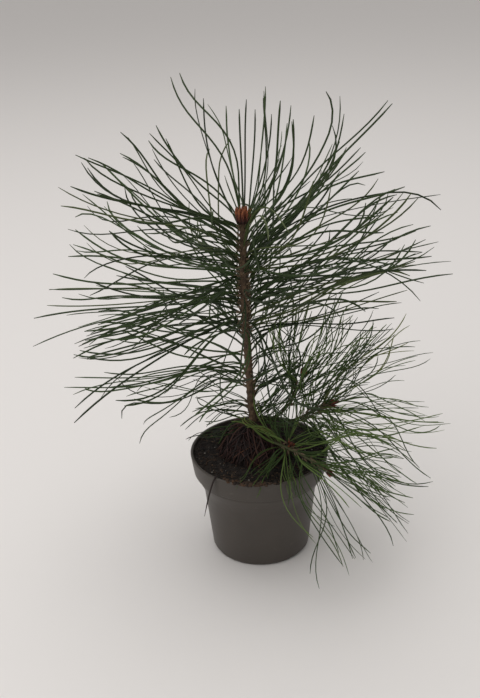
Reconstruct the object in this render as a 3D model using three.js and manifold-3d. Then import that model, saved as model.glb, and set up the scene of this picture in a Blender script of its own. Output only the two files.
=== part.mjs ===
// A young Scots pine in a round nursery pot.
// Millimetres, +Z up. The origin is the centre of the pot's flat underside, -Y is the front, and the
// side shoots stand to the right of the trunk, on +X.

import * as THREE from 'three';
import { mergeVertices } from 'three/addons/utils/BufferGeometryUtils.js';
import Module from 'manifold-3d';

// Pot: an injection-moulded cone that widens at a sloping shoulder to a collar round its top.
const RIM_RADIUS = 45;
const POT_HEIGHT = 70.4;
const WALL = 1.2;
const FLOOR = 3;
const COLLAR_FOOT_RADIUS = 43.3;
const COLLAR_HEIGHT = 13.6;
const COLLAR_EDGE = 0.8;
const SHOULDER_RADIUS = 42.4;
const SHOULDER_HEIGHT = 12;
const BODY_TOP_RADIUS = 37;
const BASE_RADIUS = 32.5;
const FOOT_ROUND = 2.4;
const LIP_ROUND = 0.9;
const POT_SIDES = 32;
const DRAIN_HOLES = 6;
const DRAIN_SIDES = 6;
const DRAIN_RADIUS = 3;
const DRAIN_CIRCLE = 21;
const LIP_INSIDE = 0.4;

// Three low arches under the foot's edge let water out, and leave three feet.
const ARCHES = [80, 200, 320];
const ARCH_WIDTH = 19;
const ARCH_HEIGHT = 1.7;
const ARCH_DEPTH = 4;

const COLLAR_FOOT = POT_HEIGHT - COLLAR_HEIGHT;
const SHOULDER_FOOT = COLLAR_FOOT - SHOULDER_HEIGHT;

// Compost, filled nearly to the brim.
const SOIL_TOP = 68.2;
const SOIL_SIDES = 20;
const SOIL_RINGS = 4;
const SOIL_RELIEF = 1;
const SOIL_LEVEL_RADIUS = 9;
const SOIL_LEVEL_FADE = 12;
const SOIL_SHARE = 0.995;

// Trunk: slender, leaning a little to the left, with a small flare where it leaves the compost.
const TRUNK_FOOT_X = -2;
const TRUNK_TOP = 225;
const TRUNK_LEAN = -5.1;
const TRUNK_FLARE_RADIUS = 4.6;
const TRUNK_LOW_RADIUS = 3;
const TRUNK_TIP_RADIUS = 2.1;
const FLARE_HEIGHT = 4.5;
const TRUNK_TURN = Math.PI * 0.62;
const TRUNK_LEAN_AT = 0.8;
const TRUNK_SWAY = 0.8;
const TRUNK_WAVES = 5;
const TRUNK_RINGS = 15;
const TRUNK_SIDES = 10;
const TRUNK_SPACING = 1.35;
const TRUNK_RIDGES = 3;
const TRUNK_RIDGE = 0.05;

// Winter bud cluster on the leader: one central bud with a ring of smaller ones.
const BUD_LENGTH = 11.5;
const BUD_RADIUS = 2.1;
const BUD_SIDES = 6;
const BUD_RING = 5;
const BUD_RING_SIDES = 5;
const BUD_RING_SHARE = 0.78;
const BUD_RING_LENGTHS = [0.8, 0.86, 0.92];
const BUD_RING_LIFT = 0.3;
const BUD_RING_TILT = 9;
const BUD_RING_START = 0.4;
const BUD_SPREAD = 2.5;

// A bud's outline: share of its length, then share of its radius.
const BUD_OUTLINE = [[0, 0.72], [0.3, 1], [0.65, 0.78], [0.92, 0.3], [1, 0]];

// Dead brown needles gathered round the trunk's foot.
const SKIRT_RADIUS = 21;
const SKIRT_HEIGHT = 16;
const SKIRT_LOBES = 7;
const SKIRT_WOBBLE = [0.8, 1.15];
const SKIRT_RAGGED = 0.12;

// The skirt's outline: share of its height, then share of its radius.
const SKIRT_OUTLINE = [[0, 0.9], [0.16, 1], [0.5, 0.5], [1, 0.26]];

// Gap kept between a piece and the neighbour that it is cut round.
const GAP = 0.35;

// Needle sprays round the trunk, tier by tier. A tier leaves the trunk at a height, rises at an angle
// that changes from stem to tip, and is divided into sprays over an arc that starts at an azimuth.
// Its reach is longer to the left by the share called leftward, and shorter to the right.
const CROWN_TIERS = [
  {
    name: 'needles_top', height: 219, rise: [44, 80], reach: 88, leftward: 0.1,
    start: -52, arc: 284, sprays: 4,
  },
  {
    name: 'needles_upper', height: 211, rise: [20, 54], reach: 103, leftward: 0.05,
    start: -60, arc: 300, sprays: 5,
  },
  {
    name: 'needles_shoulder', height: 197, rise: [12, 26], reach: 109, leftward: 0.04,
    start: 30, arc: 360, sprays: 6,
  },
  {
    name: 'needles_middle', height: 174, rise: [10, 2], reach: 112, leftward: 0.04,
    start: -30, arc: 360, sprays: 6,
  },
  {
    name: 'needles_lower', height: 146, rise: [4, -8], reach: 113, leftward: 0.03,
    start: 42, arc: 196, sprays: 4,
  },
  {
    name: 'needles_hem', height: 118, rise: [6, -6], reach: 110, leftward: 0.02,
    start: 70, arc: 118, sprays: 2,
  },
];
const CROWN_TILT = 8;
const SPRAY_FILL = 0.8;
const SPRAY_THICKNESS = 3.8;
const SPRAY_EDGE = 0.4;
const CROWN_POINTS = 3;
const SPRAY_ROWS = 3;

// A spray's own unevenness: how far its points and notches reach, as shares of its reach, how far
// they sway and lift, in degrees, and how its thickness thins to the sides and varies.
const POINT_REACH = [0.9, 1];
const NOTCH_REACH = [0.6, 0.74];
const SWAY = [-2.5, 2.5];
const LIFT = [-3.5, 3.5];
const SIDE_THINNING = 0.6;
const SWELL = [0.75, 1.25];
const SWELL_START = 0.12;

// Side shoots from the trunk's foot: where they leave it, where they end and which way the tip looks,
// then the whorls of needle sprays round the tip, in the tip's own frame.
const SIDE_SHOOTS = [
  {
    name: 'upright', leaves: 86, bow: 1, tip: [28, 3, 121], look: [0.24, 0.02, 0.97],
    whorls: [{ rise: [48, 72], reach: 62, start: 20, sprays: 3, sag: 0 }],
  },
  {
    name: 'right', leaves: 83, bow: 1, tip: [46, 2, 100], look: [0.91, 0.03, 0.42],
    whorls: [
      { rise: [58, 68], reach: 73, start: 120, sprays: 2, sag: -7 },
      { rise: [24, 42], reach: 72, start: 34, sprays: 4, sag: 4 },
    ],
  },
  {
    name: 'front', leaves: 80, bow: 0, tip: [20, -20, 85], look: [0.12, -0.8, 0.6],
    whorls: [{ rise: [22, 38], reach: 45, start: 60, sprays: 3, sag: 0 }],
  },
  {
    name: 'low', leaves: 79, bow: 4, tip: [41, -45, 80], look: [0.8, -0.36, -0.48],
    whorls: [{ rise: [40, 54], reach: 60, start: 40, sprays: 3, sag: 5 }],
  },
];
const SHOOT_FOOT_RADIUS = 2.3;
const SHOOT_TIP_RADIUS = 1.6;
const SIDE_BUD_LENGTH = 6.5;
const SIDE_BUD_RADIUS = 1.9;
const SIDE_BUD_SIDES = 8;
const SHOOT_STEPS = 8;
const SHOOT_SIDES = 8;
const SHOOT_PULL = [0.35, 0.4];
const WHORL_STEP = 4;
const WHORL_BACK = 2;
const SIDE_FILL = 0.7;
const SIDE_THICKNESS = 2.8;
const SIDE_POINTS = 2;

const UP = new THREE.Vector3(0, 0, 1);
const radians = THREE.MathUtils.degToRad;

const wasm = await Module();
wasm.setup();

const root = new THREE.Group();
const placed = [];

function material(color, roughness) {
  return new THREE.MeshStandardMaterial({ color, roughness, metalness: 0 });
}

const POT_PLASTIC = material(0x514a44, 0.55);
const COMPOST = material(0x1c1512, 1);
const BARK = material(0x5e4632, 0.9);
const BUD = material(0x7a3420, 0.7);
const DEAD = material(0x5a2a1c, 0.9);
const CROWN_GREENS = [0x35523a, 0x2f4c33, 0x2b472f, 0x29432c, 0x273f2a, 0x243a28];
const SIDE_GREEN = material(0x45682f, 0.7);

// A repeatable sequence of numbers from 0 to 1.
function sequence(seed) {
  let state = seed;
  return () => {
    state = (state + 0x6d2b79f5) | 0;
    let mixed = Math.imul(state ^ (state >>> 15), 1 | state);
    mixed = (mixed + Math.imul(mixed ^ (mixed >>> 7), 61 | mixed)) ^ mixed;
    return ((mixed ^ (mixed >>> 14)) >>> 0) / 4294967296;
  };
}

function between([low, high], share) {
  return low + (high - low) * share;
}

function shared(geometry) {
  const bare = geometry.clone();
  bare.deleteAttribute('normal');
  bare.deleteAttribute('uv');
  return mergeVertices(bare, 1e-4);
}

function toSolid(geometry) {
  const bare = shared(geometry);
  return new wasm.Manifold(new wasm.Mesh({
    numProp: 3,
    vertProperties: new Float32Array(bare.attributes.position.array),
    triVerts: new Uint32Array(bare.index.array),
  }));
}

function toGeometry(solid) {
  const mesh = solid.getMesh();
  const geometry = new THREE.BufferGeometry();
  geometry.setAttribute('position', new THREE.BufferAttribute(mesh.vertProperties, 3));
  geometry.setIndex(new THREE.BufferAttribute(mesh.triVerts, 1));
  geometry.computeVertexNormals();
  return geometry;
}

// The same surface moved outwards by a distance, used to cut a neighbour with a gap.
function swollen(geometry, distance) {
  const bare = shared(geometry);
  bare.computeVertexNormals();
  const { position, normal } = bare.attributes;
  for (let i = 0; i < position.count; i += 1) {
    position.setXYZ(
      i,
      position.getX(i) + normal.getX(i) * distance,
      position.getY(i) + normal.getY(i) * distance,
      position.getZ(i) + normal.getZ(i) * distance,
    );
  }
  return bare;
}

// Cuts a geometry round every piece placed so far, and keeps its largest body.
function cutRoundPlaced(geometry) {
  geometry.computeBoundingBox();
  const near = placed.filter((other) => other.box.intersectsBox(geometry.boundingBox));
  let solid = toSolid(geometry);
  near.forEach((other) => {
    solid = solid.subtract(other.cutter);
  });
  const bodies = solid.decompose().sort((a, b) => b.volume() - a.volume());
  return toGeometry(bodies[0]);
}

// Adds a piece to the tree, cut round its neighbours, and keeps its own shape for later cuts.
function add(name, geometry, look) {
  const mesh = new THREE.Mesh(cutRoundPlaced(geometry), look);
  mesh.name = name;
  root.add(mesh);
  const grown = swollen(geometry, GAP);
  grown.computeBoundingBox();
  placed.push({ cutter: toSolid(grown), box: grown.boundingBox });
}

// A closed tube through rings of points, with flat ends.
function loft(centres, radii, normals, sides, outline = () => 1) {
  const positions = [];
  const index = [];
  centres.forEach((centre, ring) => {
    const along = normals[ring];
    const across = new THREE.Vector3(0, 1, 0).cross(along).normalize();
    const other = along.clone().cross(across);
    for (let side = 0; side < sides; side += 1) {
      const angle = (2 * Math.PI * side) / sides;
      const radius = radii[ring] * outline(angle, ring);
      positions.push(...centre.clone()
        .addScaledVector(across, radius * Math.cos(angle))
        .addScaledVector(other, radius * Math.sin(angle)).toArray());
    }
  });
  const last = centres.length - 1;
  const foot = positions.length / 3;
  positions.push(...centres[0].toArray(), ...centres[last].toArray());
  for (let side = 0; side < sides; side += 1) {
    const next = (side + 1) % sides;
    for (let ring = 0; ring < last; ring += 1) {
      const low = ring * sides;
      const high = low + sides;
      index.push(low + side, low + next, high + next, low + side, high + next, high + side);
    }
    index.push(foot, next, side);
    index.push(foot + 1, last * sides + side, last * sides + next);
  }
  const geometry = new THREE.BufferGeometry();
  geometry.setAttribute('position', new THREE.Float32BufferAttribute(positions, 3));
  geometry.setIndex(index);
  geometry.computeVertexNormals();
  return geometry;
}

function arc(centreRadius, centreHeight, radiusAcross, radiusUp, from, to, steps) {
  const points = [];
  for (let i = 0; i <= steps; i += 1) {
    const angle = radians(from + ((to - from) * i) / steps);
    points.push(new THREE.Vector2(
      centreRadius + radiusAcross * Math.cos(angle),
      centreHeight + radiusUp * Math.sin(angle),
    ));
  }
  return points;
}

// Turned about +Z: a lathe's own axis is +Y.
function turned(profile, sides) {
  return new THREE.LatheGeometry(profile, sides).rotateX(Math.PI / 2);
}

function innerRadiusAt(height) {
  if (height > COLLAR_FOOT) {
    const share = (height - COLLAR_FOOT) / COLLAR_HEIGHT;
    return between([SHOULDER_RADIUS, RIM_RADIUS - LIP_INSIDE], share) - WALL;
  }
  if (height > SHOULDER_FOOT) {
    return between([BODY_TOP_RADIUS, SHOULDER_RADIUS], (height - SHOULDER_FOOT) / SHOULDER_HEIGHT) - WALL;
  }
  return between([BASE_RADIUS, BODY_TOP_RADIUS], height / SHOULDER_FOOT) - WALL;
}

function potGeometry() {
  const profile = [
    new THREE.Vector2(0, 0),
    ...arc(BASE_RADIUS - FOOT_ROUND, FOOT_ROUND, FOOT_ROUND, FOOT_ROUND, -90, 0, 2),
    new THREE.Vector2(BODY_TOP_RADIUS, SHOULDER_FOOT),
    new THREE.Vector2(SHOULDER_RADIUS, COLLAR_FOOT),
    new THREE.Vector2(COLLAR_FOOT_RADIUS, COLLAR_FOOT + COLLAR_EDGE),
    ...arc(RIM_RADIUS - LIP_ROUND, POT_HEIGHT - LIP_ROUND, LIP_ROUND, LIP_ROUND, 0, 180, 3),
    new THREE.Vector2(innerRadiusAt(COLLAR_FOOT), COLLAR_FOOT),
    new THREE.Vector2(innerRadiusAt(SHOULDER_FOOT), SHOULDER_FOOT),
    new THREE.Vector2(innerRadiusAt(FLOOR), FLOOR),
    new THREE.Vector2(0, FLOOR),
  ];
  let solid = toSolid(turned(profile, POT_SIDES));
  for (let i = 0; i < DRAIN_HOLES; i += 1) {
    const angle = (2 * Math.PI * (i + 0.5)) / DRAIN_HOLES;
    const drill = new THREE.CylinderGeometry(DRAIN_RADIUS, DRAIN_RADIUS, 4 * FLOOR, DRAIN_SIDES);
    drill.rotateX(Math.PI / 2);
    drill.translate(DRAIN_CIRCLE * Math.cos(angle), DRAIN_CIRCLE * Math.sin(angle), 0);
    solid = solid.subtract(toSolid(drill));
  }
  ARCHES.forEach((azimuth) => {
    const block = new THREE.BoxGeometry(2 * ARCH_DEPTH, ARCH_WIDTH, 2 * ARCH_HEIGHT);
    block.translate(BASE_RADIUS, 0, 0);
    block.rotateZ(radians(azimuth));
    solid = solid.subtract(toSolid(block));
  });
  return toGeometry(solid);
}

// Compost surface: level round the stems, uneven towards the pot's wall.
function soilHeight(x, y) {
  const past = Math.hypot(x - TRUNK_FOOT_X, y) - SOIL_LEVEL_RADIUS;
  const away = Math.min(1, Math.max(0, past) / SOIL_LEVEL_FADE);
  const waves = Math.sin(0.21 * x + 1) * Math.cos(0.17 * y) + 0.5 * Math.sin(0.4 * y - 0.3 * x);
  return SOIL_TOP + away * SOIL_RELIEF * waves;
}

function soilGeometry() {
  const bottom = FLOOR + GAP;
  const rim = SOIL_TOP + SOIL_RELIEF;
  const positions = [TRUNK_FOOT_X, 0, SOIL_TOP, 0, 0, bottom];
  const index = [];
  const ringAt = (radius, heightOf) => {
    const first = positions.length / 3;
    for (let side = 0; side < SOIL_SIDES; side += 1) {
      const angle = (2 * Math.PI * side) / SOIL_SIDES;
      const x = radius * Math.cos(angle);
      const y = radius * Math.sin(angle);
      positions.push(x, y, heightOf(x, y));
    }
    return first;
  };
  const clear = (height) => (innerRadiusAt(height) - GAP) * SOIL_SHARE;
  const rings = [];
  for (let ring = 1; ring <= SOIL_RINGS; ring += 1) {
    rings.push(ringAt((clear(rim - 3) * ring) / SOIL_RINGS, soilHeight));
  }
  [COLLAR_FOOT, SHOULDER_FOOT, bottom].forEach((height) => {
    rings.push(ringAt(clear(height), () => height));
  });
  for (let side = 0; side < SOIL_SIDES; side += 1) {
    const next = (side + 1) % SOIL_SIDES;
    index.push(0, rings[0] + side, rings[0] + next);
    for (let ring = 1; ring < rings.length; ring += 1) {
      const inner = rings[ring - 1];
      const outer = rings[ring];
      index.push(inner + side, outer + side, outer + next, inner + side, outer + next, inner + next);
    }
    const edge = rings[rings.length - 1];
    index.push(1, edge + next, edge + side);
  }
  const geometry = new THREE.BufferGeometry();
  geometry.setAttribute('position', new THREE.Float32BufferAttribute(positions, 3));
  geometry.setIndex(index);
  return geometry;
}

function trunkCentre(height) {
  const share = (height - SOIL_TOP) / (TRUNK_TOP - SOIL_TOP);
  const bend = Math.sin(TRUNK_TURN * Math.min(1, share)) / Math.sin(TRUNK_TURN * TRUNK_LEAN_AT);
  const sway = TRUNK_SWAY * Math.sin(TRUNK_WAVES * share);
  return new THREE.Vector3(TRUNK_FOOT_X + TRUNK_LEAN * bend, sway, height);
}

function trunkRadius(height) {
  const above = height - SOIL_TOP;
  const share = above / (TRUNK_TOP - SOIL_TOP);
  const flare = (TRUNK_FLARE_RADIUS - TRUNK_LOW_RADIUS) * Math.exp(-above / FLARE_HEIGHT);
  return TRUNK_LOW_RADIUS + (TRUNK_TIP_RADIUS - TRUNK_LOW_RADIUS) * share + flare;
}

function trunkGeometry() {
  const foot = SOIL_TOP + GAP;
  const centres = [];
  for (let ring = 0; ring < TRUNK_RINGS; ring += 1) {
    const share = (ring / (TRUNK_RINGS - 1)) ** TRUNK_SPACING;
    centres.push(trunkCentre(foot + (TRUNK_TOP - foot) * share));
  }
  const radii = centres.map((centre) => trunkRadius(centre.z));
  const ridges = (angle, ring) => 1 + TRUNK_RIDGE * Math.sin(TRUNK_RIDGES * angle + ring);
  return loft(centres, radii, centres.map(() => UP), TRUNK_SIDES, ridges);
}

function budGeometry(radius, length, sides) {
  const side = BUD_OUTLINE.map(([along, across]) => new THREE.Vector2(across * radius, along * length));
  return turned([new THREE.Vector2(0, 0), ...side], sides);
}

function budClusterGeometry() {
  let cluster = toSolid(budGeometry(BUD_RADIUS, BUD_LENGTH, BUD_SIDES));
  for (let i = 0; i < BUD_RING; i += 1) {
    const angle = (2 * Math.PI * i) / BUD_RING + BUD_RING_START;
    const length = BUD_LENGTH * BUD_RING_LENGTHS[i % BUD_RING_LENGTHS.length];
    const side = budGeometry(BUD_RING_SHARE * BUD_RADIUS, length, BUD_RING_SIDES);
    side.rotateY(radians(BUD_RING_TILT));
    side.translate(BUD_SPREAD, 0, BUD_RING_LIFT * (i % 2));
    side.rotateZ(angle);
    cluster = cluster.add(toSolid(side));
  }
  const top = trunkCentre(TRUNK_TOP);
  return toGeometry(cluster).translate(top.x, top.y, TRUNK_TOP + GAP);
}

// A side shoot: one tapering limb that leaves the trunk low down and turns to look along its tip.
function shootCurve({ leaves, bow, tip, look }) {
  const foot = trunkCentre(leaves);
  const end = new THREE.Vector3(...tip);
  const direction = new THREE.Vector3(...look).normalize();
  const reach = end.clone().sub(foot).length();
  const outward = end.clone().sub(foot).setZ(0).normalize();
  return new THREE.CubicBezierCurve3(
    foot,
    foot.clone().addScaledVector(outward, SHOOT_PULL[0] * reach).add(new THREE.Vector3(0, 0, bow)),
    end.clone().addScaledVector(direction, -SHOOT_PULL[1] * reach),
    end,
  );
}

function shootGeometry(shoot) {
  const curve = shootCurve(shoot);
  const centres = curve.getSpacedPoints(SHOOT_STEPS);
  const along = centres.map((_, i) => curve.getTangentAt(i / SHOOT_STEPS));
  const radii = centres.map((_, i) => between([SHOOT_FOOT_RADIUS, SHOOT_TIP_RADIUS], i / SHOOT_STEPS));
  return loft(centres, radii, along, SHOOT_SIDES);
}

function shootBudGeometry({ tip, look }) {
  const direction = new THREE.Vector3(...look).normalize();
  const turn = new THREE.Quaternion().setFromUnitVectors(UP, direction);
  const start = new THREE.Vector3(...tip).addScaledVector(direction, GAP);
  return budGeometry(SIDE_BUD_RADIUS, SIDE_BUD_LENGTH, SIDE_BUD_SIDES)
    .applyQuaternion(turn)
    .translate(start.x, start.y, start.z);
}

// Dead needles: a low uneven cone round the trunk's foot, resting on the compost.
function skirtGeometry() {
  const random = sequence(11);
  const wobble = Array.from({ length: SKIRT_LOBES }, () => between(SKIRT_WOBBLE, random()));
  const foot = soilHeight(TRUNK_FOOT_X, 0) + GAP;
  const centres = SKIRT_OUTLINE.map(([up]) => trunkCentre(foot + up * SKIRT_HEIGHT));
  const radii = SKIRT_OUTLINE.map(([, out]) => out * SKIRT_RADIUS);
  const lobes = (angle, ring) => {
    const lobe = Math.floor((angle / (2 * Math.PI)) * SKIRT_LOBES) % SKIRT_LOBES;
    const ragged = 1 + SKIRT_RAGGED * Math.sin(SKIRT_LOBES * angle);
    return ring > 1 ? 1 : wobble[lobe] * ragged;
  };
  return loft(centres, radii, centres.map(() => UP), 2 * SKIRT_LOBES, lobes);
}

// One spray of needles: a thin fan between a shoot and its furthest tips. Columns run out from the
// shoot, alternately to a point and to a notch, so the rim is ragged, and rows follow the rise.
function sprayGeometry(spray) {
  const { origin, axes, inner, azimuth, halfWidth, rise, reach, thickness, sag, tilt } = spray;
  const random = sequence(spray.seed);
  const columns = 2 * spray.points + 1;
  const upper = [];
  const lower = [];
  for (let column = 0; column < columns; column += 1) {
    const across = (2 * column) / (columns - 1) - 1;
    const point = column % 2 === 1;
    const length = reach * between(point ? POINT_REACH : NOTCH_REACH, random());
    const sway = between(SWAY, random());
    const lift = between(LIFT, random());
    const edge = 1 - SIDE_THINNING * across * across;
    let radius = inner;
    let height = 0;
    for (let row = 0; row <= SPRAY_ROWS; row += 1) {
      const share = row / SPRAY_ROWS;
      const turnTo = azimuth + across * halfWidth + sway * share;
      const turn = radians(turnTo);
      const pitch = radians(between(rise, share) + tilt * Math.cos(turn) + lift * share);
      if (row > 0) {
        radius += (length / SPRAY_ROWS) * Math.cos(pitch);
        height += (length / SPRAY_ROWS) * Math.sin(pitch);
      }
      const rounded = Math.sin(Math.PI * between([SWELL_START, 1], share));
      const swell = rounded * edge * between(SWELL, random());
      const half = SPRAY_EDGE + thickness * Math.max(0, row === SPRAY_ROWS ? 0 : swell);
      const outward = axes.x.clone().multiplyScalar(Math.cos(turn)).addScaledVector(axes.y, Math.sin(turn));
      const normal = axes.z.clone().multiplyScalar(Math.cos(pitch));
      normal.addScaledVector(outward, -Math.sin(pitch));
      const centre = origin.clone().addScaledVector(outward, radius).addScaledVector(axes.z, height);
      centre.z -= sag * share * share;
      upper.push(centre.clone().addScaledVector(normal, half));
      lower.push(centre.clone().addScaledVector(normal, -half));
    }
  }
  return shellGeometry(upper, lower, columns, SPRAY_ROWS + 1);
}

// Joins an upper and a lower grid of points, column by column, into one closed shell.
function shellGeometry(upper, lower, columns, rows) {
  const positions = [...upper, ...lower].flatMap((point) => point.toArray());
  const index = [];
  const quad = (a, b, c, d) => index.push(a, b, c, a, c, d);
  const top = (column, row) => column * rows + row;
  const under = (column, row) => upper.length + column * rows + row;
  for (let column = 0; column < columns - 1; column += 1) {
    for (let row = 0; row < rows - 1; row += 1) {
      quad(top(column, row), top(column, row + 1), top(column + 1, row + 1), top(column + 1, row));
      quad(under(column, row), under(column + 1, row), under(column + 1, row + 1), under(column, row + 1));
    }
    quad(top(column, 0), top(column + 1, 0), under(column + 1, 0), under(column, 0));
    const end = rows - 1;
    quad(top(column, end), under(column, end), under(column + 1, end), top(column + 1, end));
  }
  for (let row = 0; row < rows - 1; row += 1) {
    const last = columns - 1;
    quad(top(0, row), under(0, row), under(0, row + 1), top(0, row + 1));
    quad(top(last, row), top(last, row + 1), under(last, row + 1), under(last, row));
  }
  const geometry = new THREE.BufferGeometry();
  geometry.setAttribute('position', new THREE.Float32BufferAttribute(positions, 3));
  geometry.setIndex(index);
  return geometry;
}

function tierSprays(tier, order) {
  const origin = trunkCentre(tier.height);
  const look = material(CROWN_GREENS[order], 0.75);
  const sector = tier.arc / tier.sprays;
  for (let i = 0; i < tier.sprays; i += 1) {
    const azimuth = tier.start + sector * (i + 0.5);
    const reach = tier.reach * (1 - tier.leftward * Math.cos(radians(azimuth)));
    const geometry = sprayGeometry({
      origin,
      axes: { x: new THREE.Vector3(1, 0, 0), y: new THREE.Vector3(0, 1, 0), z: UP },
      inner: trunkRadius(tier.height) * 1.05 + GAP,
      azimuth,
      halfWidth: (sector / 2) * SPRAY_FILL,
      rise: tier.rise,
      reach,
      thickness: SPRAY_THICKNESS,
      points: CROWN_POINTS,
      sag: 0,
      tilt: CROWN_TILT,
      seed: 100 * (order + 1) + i,
    });
    add(`${tier.name}_${i + 1}`, geometry, look);
  }
}

function shootSprays(shoot, order) {
  const axisZ = new THREE.Vector3(...shoot.look).normalize();
  const turn = new THREE.Quaternion().setFromUnitVectors(UP, axisZ);
  const axisX = new THREE.Vector3(1, 0, 0).applyQuaternion(turn);
  const axisY = new THREE.Vector3(0, 1, 0).applyQuaternion(turn);
  let number = 0;
  shoot.whorls.forEach((whorl, level) => {
    const sector = 360 / whorl.sprays;
    for (let i = 0; i < whorl.sprays; i += 1) {
      number += 1;
      const geometry = sprayGeometry({
        origin: new THREE.Vector3(...shoot.tip).addScaledVector(axisZ, -WHORL_STEP * level - WHORL_BACK),
        axes: { x: axisX, y: axisY, z: axisZ },
        inner: SIDE_BUD_RADIUS + GAP,
        azimuth: whorl.start + sector * (i + 0.5),
        halfWidth: (sector / 2) * SIDE_FILL,
        rise: whorl.rise,
        reach: whorl.reach,
        thickness: SIDE_THICKNESS,
        points: SIDE_POINTS,
        sag: whorl.sag,
        tilt: 0,
        seed: 1000 * (order + 1) + number,
      });
      add(`needles_${shoot.name}_${number}`, geometry, SIDE_GREEN);
    }
  });
}

add('pot', potGeometry(), POT_PLASTIC);
add('compost', soilGeometry(), COMPOST);
add('trunk', trunkGeometry(), BARK);
add('leader_buds', budClusterGeometry(), BUD);
SIDE_SHOOTS.forEach((shoot) => {
  add(`shoot_${shoot.name}`, shootGeometry(shoot), BARK);
  add(`bud_${shoot.name}`, shootBudGeometry(shoot), BUD);
});
add('dead_needles', skirtGeometry(), DEAD);
SIDE_SHOOTS.forEach(shootSprays);
CROWN_TIERS.forEach(tierSprays);

export default root;
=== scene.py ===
"""Looks of a young Scots pine in a round nursery pot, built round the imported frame. Metres, +Z up."""

import math

import bpy
import numpy as np
from mathutils import Matrix, Vector, noise


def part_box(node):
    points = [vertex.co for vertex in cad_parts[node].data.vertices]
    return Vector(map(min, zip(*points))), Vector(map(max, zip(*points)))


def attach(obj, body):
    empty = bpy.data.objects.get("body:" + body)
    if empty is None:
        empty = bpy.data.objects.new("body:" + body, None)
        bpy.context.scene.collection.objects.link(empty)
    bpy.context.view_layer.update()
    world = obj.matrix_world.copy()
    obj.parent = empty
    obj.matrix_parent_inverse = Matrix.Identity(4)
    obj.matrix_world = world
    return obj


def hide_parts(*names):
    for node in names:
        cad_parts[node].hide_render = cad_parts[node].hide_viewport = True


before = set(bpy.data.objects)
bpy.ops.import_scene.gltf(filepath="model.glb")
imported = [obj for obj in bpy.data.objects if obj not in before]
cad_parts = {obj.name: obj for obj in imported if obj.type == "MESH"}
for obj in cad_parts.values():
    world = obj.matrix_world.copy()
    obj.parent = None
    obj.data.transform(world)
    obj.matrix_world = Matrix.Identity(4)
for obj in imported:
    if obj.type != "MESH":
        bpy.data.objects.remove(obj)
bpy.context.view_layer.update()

MM = 0.001
UP = np.array([0.0, 0.0, 1.0])
WORLD_AXES = (np.array([1.0, 0.0, 0.0]), np.array([0.0, 1.0, 0.0]), UP)
TURN = 2 * math.pi
GOLDEN_ANGLE = math.radians(137.508)
FRONT = math.radians(270)

# Camera, in metres and degrees
CAMERA_AT = (0.0, -0.5667, 0.4063)
CAMERA_PITCH = -24.98
CAMERA_YAW = -1.07
CAMERA_ROLL = -1.74
CAMERA_LENS = 51.58

# Pot details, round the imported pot's rim radius and height
WALL = 1.2 * MM
FLOOR = 3 * MM
COLLAR = 13.6 * MM
COLLAR_TAPER = 1.7 * MM
COLLAR_STEP = 0.9 * MM
COLLAR_EDGE = 0.8 * MM
GROOVE = 1.1 * MM
SHOULDER = 12 * MM
BODY_INSET = 8 * MM
FOOT_SHARE = 32.5 / 45
FOOT_ROUND = 2.4 * MM
LIP_ROUND = 0.9 * MM
POT_STEPS = 192
DRAIN_HOLES = 6
DRAIN_RADIUS = 3 * MM
DRAIN_CIRCLE = 21 * MM
ARCHES = (80, 200, 320)
ARCH_HALF_WIDTH = 9.5 * MM
ARCH_HEIGHT = 1.7 * MM
ARCH_DEPTH = 4 * MM

# Compost
BED_RINGS = 90
BED_STEPS = 220
BED_SINK = 1 * MM
BED_DEPTH = 6 * MM
CRUMBS = 3400
FIBRES = 70
SPECKS = 60
FLAKES = 150
FLAKES_AT = math.radians(263)

# Stems
SCAR_PITCH = 0.62 * MM
SCAR_HEIGHT = 0.55 * MM
STEM_STEPS = 48
STEM_RINGS = 460
SAME_LEVEL = 2e-5
LEAST_RING = 8
BUD_SCALES = 30

# Needles, live and dead, and the sheaths that hold them in pairs
NEEDLE_POINTS = 17
NEEDLE_WIDTH = 0.56 * MM
NEEDLE_DEPTH = 0.42 * MM
SIDE_NEEDLE_WIDTH = 0.34 * MM
SIDE_NEEDLE_DEPTH = 0.27 * MM
NEEDLE_SECTION = ((-1.0, -0.35), (1.0, -0.35), (0.82, 0.45), (0.0, 1.0), (-0.82, 0.45))
ROUND_SECTION = tuple((math.cos(TURN * i / 6), math.sin(TURN * i / 6)) for i in range(6))
SHEATH_LENGTH = (2.2 * MM, 4.0 * MM)
DEAD_NEEDLES = 1500
HANGING_AT = math.radians(232)

# How needles bend, in degrees, or in turns for a phase. Each pair is a lock's spread and a fascicle's own
SWING_UP = (9, 10)
SWING_ROUND = (9, 11)
SWING_PHASE = (0.25, 0.2)
DRIFT = (7, 9)
PARTING = 3.2
PARTING_SPREAD = 2.2
PARTING_UP = 3.5
OWN_WAVE = 7
LEAVING_RISE = 20
CURLED_SHARE = 0.35
CURLED_FROM = 0.68

# The crown: where its needles grow, and how they differ from the masses that aim them
CROWN_FASCICLES = 265
BELOW_HEM = 6 * MM
BELOW_TIP = 0.8 * MM
CROWN_CLOSENESS = 0.86
CROWN_LENGTH = (70 * MM, 128 * MM)
CROWN_START = (5, 6)
CROWN_END = (8, 9)
CROWN_AIM = (6, 6)
OPENED_ABOVE = 52
HEM_BELOW = 140 * MM
CROWN_SHADES = (0.3, 0.36, 0.24, 0.1)
LOCK_HEIGHT = 11 * MM
LOCK_ARC = math.radians(30)
MASS_MARGIN = 0.3

# A fascicle is left out where the masses round it weigh less than a number drawn between these
MASS_SHARE = (0.2, 0.5)

# Heights between which a rule of the crown comes in, from none at the first to all at the second
LOW_CROWN = (165 * MM, 130 * MM)
MIDDLE_FROM = (120 * MM, 180 * MM)
MIDDLE_TO = (215 * MM, 185 * MM)
WIDE_FROM = (150 * MM, 180 * MM)

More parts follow.
